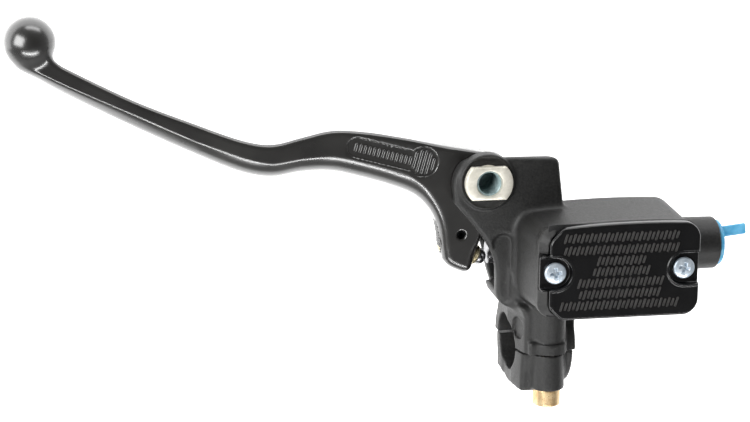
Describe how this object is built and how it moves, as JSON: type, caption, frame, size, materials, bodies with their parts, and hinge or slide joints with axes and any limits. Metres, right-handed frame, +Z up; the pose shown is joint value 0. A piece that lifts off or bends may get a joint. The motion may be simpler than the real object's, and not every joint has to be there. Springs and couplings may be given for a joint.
{
  "type": "motorcycle brake master cylinder",
  "caption": "Handlebar brake master cylinder with a ball-end lever, rectangular fluid reservoir, split bar clamp and capped side outlet.",
  "frame": {"origin": "centre of the handlebar bore, in the clamp", "axes": "+X along the handlebar towards the fluid outlet, +Y forwards (away from the rider), +Z up towards the reservoir cap"},
  "size_m": [0.2784, 0.1493, 0.0632],
  "materials": {
    "cast_black": "satin black coating on cast aluminium",
    "lever_black": "glossy black coating on forged aluminium",
    "cap_black": "glossy black moulded plastic",
    "yellow_zinc": "yellow zinc plating",
    "zinc": "clear zinc plating",
    "spring_steel": "bare steel",
    "aluminium": "turned aluminium",
    "bronze": "sintered bronze",
    "rubber": "matt black rubber",
    "white_plastic": "natural moulded plastic",
    "clear_glass": "clear lens",
    "blue_plastic": "soft light blue plastic"
  },
  "bodies": {
    "housing": {"body": "cast_black", "clamp_cap": "cast_black", "clamp_bolts": "yellow_zinc", "reservoir_cap": "cap_black", "cap_screws": "zinc", "diaphragm": "rubber", "diaphragm_plate": "white_plastic", "sight_glass": "clear_glass", "sight_glass_ring": "rubber", "pivot_bolt": "zinc", "pivot_washer": "zinc", "pivot_nut": "zinc", "snap_ring": "spring_steel", "stop_washer": "zinc", "dust_boot": "rubber", "return_spring": "spring_steel"},
    "lever": {"lever": "lever_black", "lever_bush": "bronze", "adjuster_screw": "yellow_zinc", "lock_screw": "zinc"},
    "piston": {"piston": "aluminium", "push_rod": "spring_steel", "primary_cup": "rubber", "secondary_cup": "rubber", "spring_seat": "spring_steel"},
    "plug": {"outlet_plug": "blue_plastic"}
  },
  "joints": [
    {"name": "lever_pivot", "type": "hinge", "parent": "housing", "child": "lever", "pos_m": [-0.0232, 0.0659, 0], "axis": [0, 0, 1], "range_deg": [0, 18], "stiffness_Nm_per_rad": 0.6, "springref_deg": -5.73},
    {"name": "piston_slide", "type": "slide", "parent": "housing", "child": "piston", "axis": [1, 0, 0], "range_m": [0, 0.0099], "deforming": ["return_spring", "dust_boot"]},
    {"name": "plug_pull", "type": "slide", "parent": "housing", "child": "plug", "axis": [1, 0, 0], "range_m": [0, 0.02]}
  ],
  "couplings": [
    {"joint": "piston_slide", "follows": "lever_pivot", "m_per_rad": 0.0311}
  ]
}
